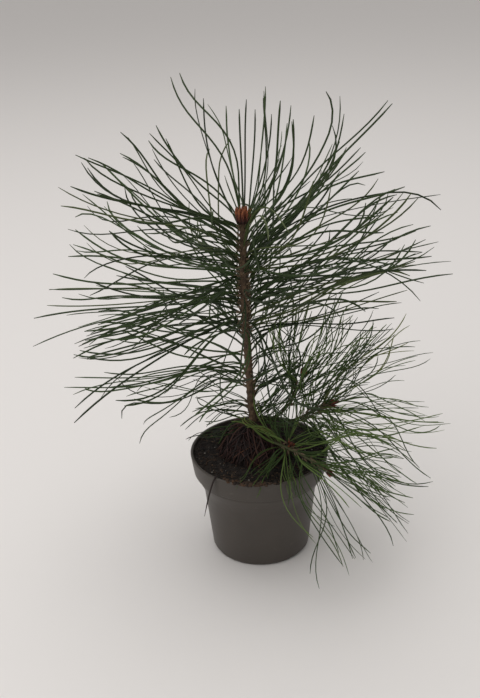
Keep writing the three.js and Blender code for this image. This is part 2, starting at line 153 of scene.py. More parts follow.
# The odds of leaving a fascicle out: at the open front, low in the crown, and where needles end steep.
# Directions and slopes are in degrees
FRONT_ODDS = 0.85
FRONT_SPREAD = 34
FRONT_SPREAD_LOW = 44
LOW_ODDS = 0.42
FRONT_LEFT = (180, 265)
FRONT_LEFT_ODDS = 0.8
STEEP = 50
STEEP_ODDS_LEFT = 0.15
STEEP_ODDS_RIGHT = 0.35
STEEP_ODDS = 0.78

# Each side shoot's needles: how many fascicles, the share of the shoot that is bare at its foot, their
# length as a share of the masses' reach, and how far their tips sag
SIDE_NEEDLES = {
    "upright": {"count": 30, "bare": 0.55, "reach": 1.0, "sag": 3 * MM},
    "right": {"count": 60, "bare": 0.55, "reach": 1.0, "sag": 13 * MM},
    "front": {"count": 40, "bare": 0.55, "reach": 0.76, "sag": 1 * MM},
    "low": {"count": 40, "bare": 0.3, "reach": 0.92, "sag": 6 * MM},
}
SIDE_START = (5, 5)
SIDE_END = (8, 7)
SIDE_SHADES = (0.32, 0.4, 0.24, 0.04)
SIDE_LOCK_ARC = math.radians(35)
LOWEST_NEEDLE = 1.5 * MM

# A needle found in the pot is moved this far over or outside it, or left out if it is deeper in
OVER_POT = 0.9 * MM
ASIDE_POT = 2 * MM
DEEPEST = 5 * MM

SEEDS = {"crown": 12, "compost": 23, "buds": 31, "dead": 41, "side": 50}

# Studio
SOFT_WHITE = (1.0, 0.98, 0.96)
FLOOR_HALF = 8.0


# ------------ materials

def plain(name, color, roughness=0.5, specular=0.5):
    """A material of one even colour, for the small joined pieces."""
    mat = bpy.data.materials.new(name)
    mat.use_nodes = True
    shader = mat.node_tree.nodes["Principled BSDF"]
    shader.inputs["Base Color"].default_value = (*color, 1)
    shader.inputs["Roughness"].default_value = roughness
    shader.inputs["Specular IOR Level"].default_value = specular
    mat.diffuse_color = (*color, 1)
    return mat


class Tree:
    """A short way to build a node tree round a Principled shader."""

    def __init__(self, name):
        self.mat = bpy.data.materials.new(name)
        self.mat.use_nodes = True
        self.tree = self.mat.node_tree
        self.shader = self.tree.nodes["Principled BSDF"]
        self.coords = self.add("ShaderNodeTexCoord").outputs["Object"]

    def add(self, kind, **settings):
        node = self.tree.nodes.new(kind)
        for key, value in settings.items():
            setattr(node, key, value)
        return node

    def feed(self, socket, value):
        if isinstance(value, (int, float)):
            socket.default_value = value
        elif isinstance(value, tuple):
            socket.default_value = (*value, 1)
        else:
            self.tree.links.new(value, socket)

    def stretched(self, scale):
        mapping = self.add("ShaderNodeMapping")
        mapping.inputs["Scale"].default_value = scale
        self.feed(mapping.inputs["Vector"], self.coords)
        return mapping.outputs["Vector"]

    def noise(self, scale, detail=4.0, vector=None, distortion=0.0):
        node = self.add("ShaderNodeTexNoise")
        node.inputs["Scale"].default_value = scale
        node.inputs["Detail"].default_value = detail
        node.inputs["Distortion"].default_value = distortion
        self.feed(node.inputs["Vector"], vector or self.coords)
        return node.outputs["Fac"]

    def ramp(self, value, stops):
        node = self.add("ShaderNodeValToRGB")
        ramp = node.color_ramp
        while len(ramp.elements) < len(stops):
            ramp.elements.new(0.5)
        for element, (place, color) in zip(ramp.elements, stops):
            element.position = place
            element.color = (*color, 1)
        self.feed(node.inputs["Fac"], value)
        return node.outputs["Color"]

    def math(self, operation, first, second):
        node = self.add("ShaderNodeMath", operation=operation)
        self.feed(node.inputs[0], first)
        self.feed(node.inputs[1], second)
        return node.outputs["Value"]

    def mix(self, factor, first, second):
        node = self.add("ShaderNodeMix", data_type="RGBA")
        inputs = [s for s in node.inputs if s.enabled]
        for socket, value in zip(inputs, (factor, first, second)):
            self.feed(socket, value)
        return next(s for s in node.outputs if s.enabled)

    def bump(self, height, strength, distance):
        node = self.add("ShaderNodeBump")
        node.inputs["Strength"].default_value = strength
        node.inputs["Distance"].default_value = distance
        self.feed(node.inputs["Height"], height)
        self.feed(self.shader.inputs["Normal"], node.outputs["Normal"])

    def set(self, socket, value):
        self.feed(self.shader.inputs[socket], value)


def pot_plastic():
    """Taupe recycled plastic: faint mottling, fine grain, dusty scuffs and vertical flow marks."""
    t = Tree("pot_plastic")
    mottle = t.noise(35, 5)
    color = t.ramp(mottle, [(0.3, (0.037, 0.030, 0.024)), (0.7, (0.050, 0.041, 0.033))])
    streak = t.noise(8, 3, t.stretched((9, 9, 0.5)))
    color = t.mix(t.math("MULTIPLY", streak, 0.35), color, (0.075, 0.065, 0.056))
    dust = t.ramp(t.noise(160, 6, distortion=0.4), [(0.62, (0, 0, 0)), (0.78, (1, 1, 1))])
    color = t.mix(t.math("MULTIPLY", dust, 0.22), color, (0.16, 0.14, 0.12))
    t.set("Base Color", color)
    t.set("Roughness", t.math("ADD", t.math("MULTIPLY", mottle, 0.2), 0.34))
    t.bump(t.noise(900, 3), 0.12, 0.0004)
    return t.mat


def compost_ground():
    """Damp dark peat between the loose crumbs."""
    t = Tree("compost_ground")
    fine = t.noise(420, 8, distortion=0.6)
    color = t.ramp(fine, [
        (0.25, (0.003, 0.002, 0.002)), (0.5, (0.010, 0.007, 0.005)), (0.75, (0.030, 0.018, 0.012)),
    ])
    t.set("Base Color", color)
    t.set("Roughness", 0.95)
    t.bump(fine, 0.9, 0.0012)
    return t.mat


def young_bark():
    """Brown young bark, with fine lengthwise cracks a little greener than the rest."""
    t = Tree("young_bark")
    coarse = t.noise(260, 5)
    color = t.ramp(coarse, [
        (0.28, (0.028, 0.015, 0.009)), (0.5, (0.080, 0.046, 0.025)), (0.72, (0.165, 0.105, 0.060)),
    ])
    crack = t.noise(900, 4, t.stretched((1, 1, 0.18)))
    color = t.mix(t.math("MULTIPLY", crack, 0.4), color, (0.045, 0.036, 0.016))
    t.set("Base Color", color)
    t.set("Roughness", 0.85)
    t.bump(crack, 0.5, 0.0005)
    return t.mat


# ------------ meshes

def add_object(name, data):
    thing = bpy.data.objects.new(name, data)
    bpy.context.scene.collection.objects.link(thing)
    return thing


def build(name, vertices, polygons, materials, which=None, stands_for=()):
    """Makes a shown piece from arrays. Polygons is a list of index arrays, one row to a face."""
    mesh = bpy.data.meshes.new(name)
    vertices = np.asarray(vertices, np.float32)
    mesh.vertices.add(len(vertices))
    mesh.vertices.foreach_set("co", vertices.ravel())
    loops = np.concatenate([p.ravel() for p in polygons]).astype(np.int32)
    sizes = np.concatenate([np.full(len(p), p.shape[1]) for p in polygons])
    starts = np.concatenate([[0], np.cumsum(sizes)[:-1]]).astype(np.int32)
    mesh.loops.add(len(loops))
    mesh.loops.foreach_set("vertex_index", loops)
    mesh.polygons.add(len(sizes))
    mesh.polygons.foreach_set("loop_start", starts)
    if which is not None:
        mesh.polygons.foreach_set("material_index", np.asarray(which, np.int32))
    mesh.polygons.foreach_set("use_smooth", np.full(len(sizes), True))
    mesh.update(calc_edges=True)
    for mat in materials:
        mesh.materials.append(mat)
    piece = add_object(name, mesh)
    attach(piece, "root")
    if stands_for:
        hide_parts(*stands_for)
    return piece


def unit(v):
    return v / np.maximum(np.linalg.norm(v, axis=-1, keepdims=True), 1e-12)


def fade(value, start, end):
    """0 up to a start, 1 from an end on, and straight in between."""
    return np.clip((value - start) / (end - start), 0, 1)


def turn_from(angle, middle):
    """The turn from one direction to another, the short way round."""
    return (angle - middle + math.pi) % TURN - math.pi


def cubic(a, b, c, d, t):
    """Points of the curve that four control points make."""
    return a * (1 - t) ** 3 + 3 * b * t * (1 - t) ** 2 + 3 * c * t ** 2 * (1 - t) + d * t ** 3


def ring_quads(first, rings, sides):
    """Quads of one grid of rings, each ring closed, from a first vertex number."""
    low = first + np.arange(rings - 1)[:, None] * sides
    side = np.arange(sides)[None, :]
    after = (side + 1) % sides
    corners = [low + side, low + after, low + sides + after, low + sides + side]
    return np.stack(corners, axis=-1).reshape(-1, 4)


def sweep(paths, widths, depths, section, facing):
    """Closed tubes of one cross-section along many paths of equal point counts.

    paths is (tubes, points, 3); widths and depths are (tubes, points) half sizes; facing is the way
    each tube's section looks at its start.
    """
    count, points, _ = paths.shape
    sides = len(section)
    tangents = unit(np.gradient(paths, axis=1))
    normal = facing
    rings = []
    for i in range(points):
        along = tangents[:, i]
        normal = unit(normal - (normal * along).sum(-1, keepdims=True) * along)
        binormal = np.cross(along, normal)
        ring = [
            paths[:, i] + a * widths[:, i, None] * binormal + b * depths[:, i, None] * normal
            for a, b in section
        ]
        rings.append(np.stack(ring, axis=1))
    vertices = np.stack(rings, axis=1).reshape(-1, 3)
    quads = ring_quads(0, points, sides)
    firsts = np.arange(count) * points * sides
    quads = (firsts[:, None, None] + quads[None]).reshape(-1, 4)
    caps = np.concatenate([
        firsts[:, None] + np.arange(sides)[::-1][None],
        firsts[:, None] + (points - 1) * sides + np.arange(sides)[None],
    ])
    return vertices, quads, caps


class Joined:
    """Gathers swept tubes and loose faces into one piece, each with its own plain material."""

    def __init__(self):
        self.vertices, self.faces, self.which = [], {}, {}
        self.total = 0

    def put(self, vertices, faces, which):
        size = faces.shape[1]
        self.vertices.append(vertices)
        self.faces.setdefault(size, []).append(faces + self.total)
        self.which.setdefault(size, []).append(which)
        self.total += len(vertices)

    def tubes(self, paths, widths, depths, section, facing, kinds):
        vertices, quads, caps = sweep(paths, widths, depths, section, facing)
        kinds = np.asarray(kinds)
        start = self.total
        self.put(vertices, quads, np.repeat(kinds, len(quads) // len(kinds)))
        self.faces.setdefault(caps.shape[1], []).append(caps + start)
        self.which.setdefault(caps.shape[1], []).append(np.concatenate([kinds, kinds]))

    def piece(self, name, materials, slot, stands_for=()):
        sizes = sorted(self.faces)
        polygons = [np.concatenate(self.faces[s]) for s in sizes]
        which = np.concatenate([np.concatenate(self.which[s]) for s in sizes])
        return build(name, np.concatenate(self.vertices), polygons, materials, which, stands_for)


# ------------ reading the frame

def node_points(node):
    """A CAD node's own vertices."""
    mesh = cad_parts[node].data
    points = np.empty(len(mesh.vertices) * 3, np.float32)
    mesh.vertices.foreach_get("co", points)
    return points.reshape(-1, 3).astype(float)


def nodes_named(start):
    return sorted(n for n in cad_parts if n.startswith(start))


def axes_round(axis):
    """Two directions square to an axis, turned from X and Y by the shortest way, and the axis."""
    turn = Vector((0, 0, 1)).rotation_difference(Vector(axis))
    return np.array(turn @ Vector((1, 0, 0))), np.array(turn @ Vector((0, 1, 0))), np.array(axis)


class Stem:
    """The trunk's centre line and radius, read ring by ring from its solid."""

    def __init__(self, node):
        points = node_points(node)
        levels = np.unique(np.round(points[:, 2], 5))
        self.levels, self.centres, self.radii = [], [], []
        for z in levels:
            ring = points[np.abs(points[:, 2] - z) < SAME_LEVEL]
            if len(ring) < LEAST_RING:
                continue
            middle = (ring.min(0) + ring.max(0)) / 2
            self.levels.append(z)
            self.centres.append(middle)
            self.radii.append(np.linalg.norm(ring[:, :2] - middle[:2], axis=1).mean())
        self.centres = np.array(self.centres)
        self.low, self.high = self.levels[0], self.levels[-1]

    def centre(self, z):
        z = np.asarray(z, float)
        return np.stack([
            np.interp(z, self.levels, self.centres[:, 0]), np.interp(z, self.levels, self.centres[:, 1]), z,
        ], axis=-1)

    def radius(self, z):
        return np.interp(z, self.levels, self.radii)


class Shoot:
    """A side shoot's route, from the trunk to its bud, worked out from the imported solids."""

    def __init__(self, name, stem):
        self.name = name
        points = node_points(f"shoot_{name}")
        bud = node_points(f"bud_{name}")
        gap = np.linalg.norm(points[:, :2] - stem.centre(points[:, 2])[:, :2], axis=1)
        self.foot = stem.centre(points[np.argsort(gap)[:8], 2].mean())
        end = bud[np.linalg.norm(bud - self.foot, axis=1).argmax()]
        back = bud[np.argsort(np.linalg.norm(bud - end, axis=1))[-8:]]
        self.tip = back.mean(0)
        self.look = unit(end - self.tip)
        self.bud_length = float(np.linalg.norm(end - self.tip))
        reach = np.linalg.norm(self.tip - self.foot)
        outward = unit((self.tip - self.foot) * (1, 1, 0))
        self.controls = (
            self.foot, self.foot + outward * 0.35 * reach, self.tip - self.look * 0.4 * reach, self.tip,
        )

    def at(self, t):
        return cubic(*self.controls, np.asarray(t, float)[..., None])


class Mass:
    """One solid mass of needles, read as a fan round a stem: its arc, its rise and its reach."""

    def __init__(self, node, origin, axis):
        self.node = node
        x, y, z = axes_round(axis)
        away = node_points(node) - origin
        height = away @ z
        across = np.stack([away @ x, away @ y], axis=1)
        far = np.linalg.norm(away, axis=1)
        self.far = far.max()
        outer = far > 0.3 * self.far
        toward = across[far > 0.6 * self.far].mean(0)
        self.middle = math.atan2(toward[1], toward[0])
        turn = turn_from(np.arctan2(across[:, 1], across[:, 0]), self.middle)
        self.left, self.right = turn[outer].min(), turn[outer].max()
        seen = np.degrees(np.arctan2(height, np.linalg.norm(across, axis=1)))
        slope, start = np.polyfit(far[outer] / self.far, seen[outer], 1)
        self.rise = (start, start + 2 * slope)


# ------------ needles

class Locks:
    """Needles near one another lean, sway and turn together, which leaves gaps between the locks."""

    def __init__(self, keys, rng):
        names = sorted(set(keys))
        place = {name: i for i, name in enumerate(names)}
        self.index = np.array([place[k] for k in keys])
        self.count = len(names)
        self.rng = rng

    def values(self, spreads, scale=1.0):
        """A normal value for each fascicle, partly its lock's and partly its own."""
        spread, own = spreads
        together = self.rng.normal(0, spread * scale, self.count)[self.index]
        return together + self.rng.normal(0, own * scale, len(self.index))


def needle_paths(base, axes, azimuth, rise, length, locks, rng, wave=1.0):
    """Both needles' centre lines for each fascicle, bent from a first rise to a last one."""
    count = len(base)
    start, end = rise
    swing = locks.values(SWING_UP, wave)
    swing_at = locks.values(SWING_PHASE)
    turn_swing = locks.values(SWING_ROUND, wave)
    turn_at = locks.values(SWING_PHASE)
    drift = locks.values(DRIFT)
    s = np.linspace(0, 1, NEEDLE_POINTS)[None, :]
    opening = np.minimum(s / 0.25, 1)
    leave = LEAVING_RISE * np.exp(-s / 0.06)
    x, y, z = axes
    paths = []
    for side in (-1, 1):
        part = side * np.abs(rng.normal(PARTING, PARTING_SPREAD, (count, 1))) * opening
        part_up = rng.normal(0, PARTING_UP, (count, 1)) * opening
        own = rng.normal(0, OWN_WAVE * wave, (count, 1))
        own = own * np.sin(TURN * (0.9 * s + rng.uniform(0, 1, (count, 1))))
        curled = rng.uniform(0, 1, (count, 1)) < CURLED_SHARE * wave
        curl = curled * fade(s, CURLED_FROM, 1) ** 1.6
        rising = (
            start[:, None] + (end - start)[:, None] * s + leave + own + part_up
            + swing[:, None] * np.sin(TURN * (0.75 * s + swing_at[:, None]))
            + curl * rng.normal(5, 32, (count, 1))
        )
        turning = (
            np.degrees(azimuth)[:, None] + part + drift[:, None] * s
            + turn_swing[:, None] * np.sin(TURN * (0.65 * s + turn_at[:, None]))
            + curl * rng.normal(0, 30, (count, 1))
        )
        rising, turning = np.radians(rising), np.radians(turning)
        direction = (
            (np.cos(rising) * np.cos(turning))[..., None] * x
            + (np.cos(rising) * np.sin(turning))[..., None] * y
            + np.sin(rising)[..., None] * z
        )
        own_length = length * rng.uniform(0.94, 1.03, count)
        steps = direction[:, :-1] * (own_length / (NEEDLE_POINTS - 1))[:, None, None]
        first = base[:, None, :]
        paths.append(np.concatenate([first, first + np.cumsum(steps, axis=1)], axis=1))
    return paths


def dress(joined, paths, kinds, sheath_kind, rng, width, depth):
    """Adds both needles of each fascicle, and the papery sheath that holds them."""
    safe = clear_of_pot(paths)
    paths = [path[safe] for path in paths]
    kinds = kinds[safe]
    count = len(paths[0])
    s = np.linspace(0, 1, NEEDLE_POINTS)[None, :]
    taper = np.minimum(0.8 + 5 * s, 1) * np.clip((1.012 - s) / 0.08, 0, 1) ** 0.5
    for path in paths:
        own = rng.uniform(0.86, 1.14, (count, 1))
        facing = rng.normal(0, 1, (count, 3))
        joined.tubes(path, width * own * taper, depth * own * taper, NEEDLE_SECTION, facing, kinds)
    along = np.linspace(0, 1, 4)[None, :, None]
    start = paths[0][:, :1]
    heading = unit(paths[0][:, 1] + paths[1][:, 1] - 2 * paths[0][:, 0])[:, None, :]
    reach = rng.uniform(*SHEATH_LENGTH, (count, 1, 1))
    sheath = start + heading * reach * along
    size = np.array([0.9, 1.05, 0.95, 0.8])[None, :] * width * 1.3 * np.ones((count, 1))
    facing = rng.normal(0, 1, (count, 3))
    joined.tubes(sheath, size, size * 0.8, ROUND_SECTION, facing, np.full(count, sheath_kind))


def clear_of_pot(paths):
    """Which fascicles stay out of the pot, after a needle that only grazes it is moved off it."""
    rim, height = pot_sizes()
    safe = np.ones(len(paths[0]), bool)
    for path in paths:
        for _ in range(3):
            x, y, z = path[..., 0], path[..., 1], path[..., 2]
            radius = np.maximum(np.hypot(x, y), 1e-6)
            up = height + OVER_POT - z
            out = outer_radius(z, rim, height) + ASIDE_POT - radius
            inside = (up > 0) & (out > 0)
            lift = inside & (up <= out)
            push = inside & (out < up)
            path[..., 2] += np.where(lift, up, 0)
            path[..., 0] += np.where(push, x / radius * out, 0)
            path[..., 1] += np.where(push, y / radius * out, 0)
            safe &= np.where(inside, np.minimum(up, out), 0).max(axis=1) < DEEPEST
            moved = inside.any(axis=1)
            eased = 0.25 * path[moved, :-2] + 0.5 * path[moved, 1:-1] + 0.25 * path[moved, 2:]
            path[moved, 1:-1] = eased
    return safe


def crown_tiers(stem):
    """The crown's masses, grouped by the height at which they leave the trunk, lowest first."""
    tiers = {}
    for name in nodes_named("needles_"):
        tier = name.rsplit("_", 1)[0]
        if tier.removeprefix("needles_") not in SIDE_NEEDLES:
            tiers.setdefault(tier, []).append(name)
    rows = []
    for names in tiers.values():
        near = []
        for name in names:
            points = node_points(name)
            gap = np.linalg.norm(points[:, :2] - stem.centre(points[:, 2])[:, :2], axis=1)
            near.append(points[np.argsort(gap)[:4], 2].mean())
        height = float(np.mean(near))
        rows.append((height, [Mass(name, stem.centre(height), UP) for name in names]))
    return sorted(rows, key=lambda row: row[0])


def mass_at(masses, azimuth):
    """The mass whose arc holds an azimuth, or nearly does."""
    best, gap = None, MASS_MARGIN
    for mass in masses:
        turn = turn_from(azimuth, mass.middle)
        outside = max(mass.left - turn, turn - mass.right, 0.0)
        if outside < gap:
            best, gap = mass, outside
    return best


def blend_masses(found):
    """The first rise, last rise and reach between those of the masses found, by their weights."""
    total = sum(weight for _, weight in found)
    traits = [(mass.rise[0], mass.rise[1], mass.far) for mass, _ in found]
    return [sum(t * w for t, (_, w) in zip(trait, found)) / total for trait in zip(*traits)]


def left_out(z, azimuth, rng):
    """Whether the open front, or the open lower crown, goes without this fascicle."""
    low = fade(z, *LOW_CROWN)
    spread = math.radians(FRONT_SPREAD + FRONT_SPREAD_LOW * low)
    if rng.uniform() < FRONT_ODDS * math.exp(-(turn_from(azimuth, FRONT) / spread) ** 2):
        return True
    front_left = FRONT_LEFT[0] < math.degrees(azimuth) < FRONT_LEFT[1]
    return rng.uniform() < (FRONT_LEFT_ODDS if front_left else LOW_ODDS) * low


def too_steep(end, azimuth, rng):
    """Whether needles that would stand upright over the bud are left out, fewer of them at the sides."""
    across = math.cos(azimuth)
    odds = STEEP_ODDS_LEFT if across < -0.45 else STEEP_ODDS_RIGHT if across > 0.5 else STEEP_ODDS
    return end > STEEP and rng.uniform() < odds


def crown_rows(tiers, stem, rng):
    """Fascicles up the trunk at the golden angle, each aimed by the tiers above and below it."""
    heights = np.array([t[0] for t in tiers])
    bottom, top = heights[0] - BELOW_HEM, stem.high - BELOW_TIP
    rows = []
    for i in range(CROWN_FASCICLES):
        z = bottom + (top - bottom) * ((i + 0.5) / CROWN_FASCICLES) ** CROWN_CLOSENESS
        azimuth = (i * GOLDEN_ANGLE + rng.normal(0, 0.1)) % TURN
        if left_out(z, azimuth, rng):
            continue
        upper = min(int(np.searchsorted(heights, z)), len(tiers) - 1)
        lower = max(upper - 1, 0)
        span = max(heights[upper] - heights[lower], 1e-6)
        share = float(np.clip((z - heights[lower]) / span, 0, 1)) if upper != lower else 1.0
        weights = ((upper, share), (lower, 1 - share))
        found = [(mass_at(tiers[k][1], azimuth), w) for k, w in weights]
        found = [(mass, w) for mass, w in found if mass is not None and w > 0]
        if sum(w for _, w in found) < rng.uniform(*MASS_SHARE):
            continue
        start, end, reach = blend_masses(found)
        if not too_steep(end, azimuth, rng):
            rows.append((z, azimuth, start, end, reach))
    return np.array(rows).T


def on_trunk(stem, z, azimuth):
    """Where fascicles leave the trunk, just inside its bark."""
    outward = np.stack([np.cos(azimuth), np.sin(azimuth), np.zeros(len(z))], axis=1)
    return stem.centre(z) + outward * (stem.radius(z) * 0.85)[:, None]


def crown_needles(stem, materials, sheath, rng):
    tiers = crown_tiers(stem)
    z, azimuth, start, end, reach = crown_rows(tiers, stem, rng)
    levels = [int(height / LOCK_HEIGHT) for height in z]
    locks = Locks([(int(a / LOCK_ARC + 0.5 * level), level) for a, level in zip(azimuth, levels)], rng)
    across = np.cos(azimuth)
    lean = across * fade(z, *MIDDLE_FROM) * fade(z, *MIDDLE_TO)
    opened = np.where(end > OPENED_ABOVE, 16 - 8 * across, 0)
    start = start + locks.values(CROWN_START) + 4 * lean
    end = end + locks.values(CROWN_END) + 6 * lean - opened + 7 * (z < HEM_BELOW)
    wide = 1 + 0.1 * np.clip(across, 0, 1) * fade(z, *WIDE_FROM)
    length = np.clip(reach * wide * rng.uniform(0.86, 1.12, len(z)), *CROWN_LENGTH)
    aim = azimuth + np.radians(locks.values(CROWN_AIM))
    base = on_trunk(stem, z, azimuth)
    paths = needle_paths(base, WORLD_AXES, aim, (start, end), length, locks, rng)
    kinds = rng.choice(len(materials), locks.count, p=CROWN_SHADES)[locks.index]
    joined = Joined()
    dress(joined, paths, kinds, len(materials), rng, NEEDLE_WIDTH, NEEDLE_DEPTH)
    stragglers(joined, stem, len(materials), rng)
    nodes = [mass.node for _, masses in tiers for mass in masses]
    joined.piece("crown_needles", [*materials, sheath], "crown_needles", nodes)


def stragglers(joined, stem, sheath_kind, rng):
    """Short, curled fascicles low on the trunk's left and right, and drooping ones under the crown's left."""
    foot = stem.low + 12 * MM
    groups = (
        {"count": 13, "height": (foot, foot + 24 * MM), "azimuth": (135, 225),
         "start": (-5, 25), "end": (-60, -5), "length": (28, 52)},
        {"count": 34, "height": (foot, foot + 50 * MM), "azimuth": (-65, 70),
         "start": (0, 40), "end": (-20, 60), "length": (26, 56)},
        {"count": 6, "height": (112 * MM, 135 * MM), "azimuth": (150, 190),
         "start": (-8, 4), "end": (-48, -22), "length": (88, 112)},
    )

    def drawn(key):
        return np.concatenate([rng.uniform(*group[key], group["count"]) for group in groups])

    z = drawn("height")
    azimuth = np.radians(drawn("azimuth"))
    rise = (drawn("start"), drawn("end"))
    length = drawn("length") * MM
    locks = Locks(list(range(len(z))), rng)
    base = on_trunk(stem, z, azimuth)
    paths = needle_paths(base, WORLD_AXES, azimuth, rise, length, locks, rng, wave=1.4)
    kinds = rng.integers(0, 3, len(z))
    dress(joined, paths, kinds, sheath_kind, rng, 0.7 * NEEDLE_WIDTH, 0.7 * NEEDLE_DEPTH)


def side_needles(shoot, materials, sheath, rng):
    """Fascicles up a side shoot, aimed by the masses round its tip, each mass picked at random."""
    own = SIDE_NEEDLES[shoot.name]
    count, bare = own["count"], own["bare"]
    nodes = nodes_named(f"needles_{shoot.name}_")
    masses = [Mass(node, shoot.tip, shoot.look) for node in nodes]
    rows, keys = [], []
    for i in range(count):
        share = ((i + rng.uniform()) / count) ** 0.8
        pick = int(rng.integers(len(masses)))
        mass = masses[pick]
        turn = rng.uniform(mass.left * 1.15, mass.right * 1.15)
        inward = rng.uniform(0, 14) * share
        start = mass.rise[0] + inward - 12 * (1 - share)
        end = mass.rise[1] + inward - 8 * (1 - share)
        rows.append((bare + (1 - bare) * share, mass.middle + turn, start, end, mass.far))
        keys.append((pick, int(turn / SIDE_LOCK_ARC + 50), int(3 * share)))
    t, azimuth, start, end, reach = np.array(rows).T
    locks = Locks(keys, rng)
    x, y, z = axes_round(shoot.look)
    base = shoot.at(t) + 1.3 * MM * (np.cos(azimuth)[:, None] * x + np.sin(azimuth)[:, None] * y)
    length = own["reach"] * reach * rng.uniform(0.9, 1.2, count)
    length += 0.5 * np.linalg.norm(shoot.tip - base, axis=1)
    rise = (start + locks.values(SIDE_START), end + locks.values(SIDE_END))
    paths = needle_paths(base, (x, y, z), azimuth, rise, length, locks, rng, wave=1.3)
    bow = np.linspace(0, 1, NEEDLE_POINTS) ** 2
    for path in paths:
        path[..., 2] -= own["sag"] * rng.uniform(0.6, 1.4, (count, 1)) * bow
        path[..., 2] = np.maximum(path[..., 2], LOWEST_NEEDLE)
    kinds = rng.choice(len(materials), locks.count, p=SIDE_SHADES)[locks.index]
    joined = Joined()
    dress(joined, paths, kinds, len(materials), rng, SIDE_NEEDLE_WIDTH, SIDE_NEEDLE_DEPTH)
    joined.piece(f"side_needles_{shoot.name}", [*materials, sheath], "side_needles", nodes)


# ------------ pot and compost

def arc(centre, radius, start, end, steps):
    angles = np.radians(np.linspace(start, end, steps + 1))
    return [(centre[0] + radius * math.cos(a), centre[1] + radius * math.sin(a)) for a in angles]


def bezier(a, b, c, steps):
    t = np.linspace(0, 1, steps + 1)[:, None]
    a, b, c = np.array(a), np.array(b), np.array(c)
    return [tuple(p) for p in a * (1 - t) ** 2 + 2 * b * t * (1 - t) + c * t ** 2]


def pot_sizes():
    low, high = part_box("pot")
    rim = (high.x - low.x) / 2
    return rim, high.z


def outer_radius(z, rim, height):
    """The wall's outside, without the collar's small step."""
    levels = [0, height - COLLAR - SHOULDER, height - COLLAR, height]
    return np.interp(z, levels, [FOOT_SHARE * rim, rim - BODY_INSET, rim - COLLAR_TAPER - COLLAR_STEP, rim])


def inner_radius(z, rim, height):
    return float(outer_radius(z, rim, height)) - WALL


def pot_outline(rim, height, foot):
    """Radius and height along the shell, from the middle of its underside to the middle of its floor."""
    step = height - COLLAR
    bend = step - SHOULDER
    body, collar = rim - BODY_INSET, rim - COLLAR_TAPER
    under = collar - COLLAR_STEP
    wall = np.linspace(0.06, 0.9, 13)
    outline = [(0.2 * MM, 0.0)]
    outline += [(r, 0.0) for r in np.linspace(0.1, 0.86, 14) * foot]
    outline += [(foot - ARCH_DEPTH - 0.1 * MM, 0.0), (foot - ARCH_DEPTH + 0.1 * MM, 0.0)]
    outline += arc((foot - FOOT_ROUND, FOOT_ROUND), FOOT_ROUND, -90, 0, 8)
    outline += [(foot + (body - foot) * s, FOOT_ROUND + (bend - FOOT_ROUND) * s) for s in wall]
    outline += bezier((body - 0.4 * MM, bend - 4 * MM), (body, bend), (body + 1.7 * MM, bend + 4 * MM), 7)
    below, bottom = (under - 1.2 * MM, step - 3 * MM), (under - 0.5 * MM, step - 1.4 * MM)
    outline += bezier(below, bottom, (under - GROOVE, step), 5)
    outline += bezier((under - 0.4 * MM, step + 0.1 * MM), (collar, step), (collar, step + COLLAR_EDGE), 6)
    outline += arc((rim - LIP_ROUND, height - LIP_ROUND), LIP_ROUND, 0, 180, 12)
    outline += [(inner_radius(z, rim, height), z) for z in (height - 4 * MM, step, bend, 0.5 * bend, FLOOR)]
    outline += [(r, FLOOR) for r in np.linspace(0.9, 0.0, 10) * (foot - WALL) + 0.2 * MM]
    return np.array(outline)


def raise_arches(vertices, foot):
    """Lifts the foot's edge into low arches with steep ends."""
    for angle in np.radians(ARCHES):
        across = vertices[:, 1] * math.cos(angle) - vertices[:, 0] * math.sin(angle)
        facing = vertices[:, 0] * math.cos(angle) + vertices[:, 1] * math.sin(angle)
        near = (facing > foot - ARCH_DEPTH) & (vertices[:, 2] < ARCH_HEIGHT)
        rise = ARCH_HEIGHT * np.clip((ARCH_HALF_WIDTH - np.abs(across)) / (1.2 * MM), 0, 1)
        vertices[:, 2] = np.where(near, np.maximum(vertices[:, 2], rise), vertices[:, 2])


def outside_drains(quads, vertices):
    """Which quads are left round the drain holes in the floor."""
    x, y, z = vertices[quads].mean(axis=1).T
    kept = np.ones(len(quads), bool)
    for i in range(DRAIN_HOLES):
        angle = TURN * (i + 0.5) / DRAIN_HOLES
        gap = np.hypot(x - DRAIN_CIRCLE * math.cos(angle), y - DRAIN_CIRCLE * math.sin(angle))
        kept &= ~((gap < DRAIN_RADIUS) & (z < FLOOR + 0.1 * MM))
    return kept


def make_pot(mat):
    rim, height = pot_sizes()
    foot = FOOT_SHARE * rim
    outline = pot_outline(rim, height, foot)
    angles = np.linspace(0, TURN, POT_STEPS, endpoint=False)
    wobble = 1 + 0.0012 * np.sin(2 * angles + 0.6) + 0.0007 * np.sin(5 * angles)
    radius = outline[:, :1] * wobble[None, :]
    vertices = np.stack([
        radius * np.cos(angles), radius * np.sin(angles), np.repeat(outline[:, 1:], POT_STEPS, axis=1),
    ], axis=-1).reshape(-1, 3)
    raise_arches(vertices, foot)
    quads = ring_quads(0, len(outline), POT_STEPS)
    kept = quads[outside_drains(quads, vertices)]
    build("pot_shell", vertices, [kept], [mat], None, ["pot"])


def bed_height(x, y, top):
    """Uneven compost, heaped a little round the stem."""
    point = Vector((x, y, 0.0))
    waves = 1.5 * noise.noise(point * 70) + 0.9 * noise.noise(point * 190) + 0.45 * noise.noise(point * 520)
    heap = 1.6 * math.exp(-(math.hypot(x + 0.002, y) / 0.016) ** 2)
    return top + (waves + heap - 0.6) * MM


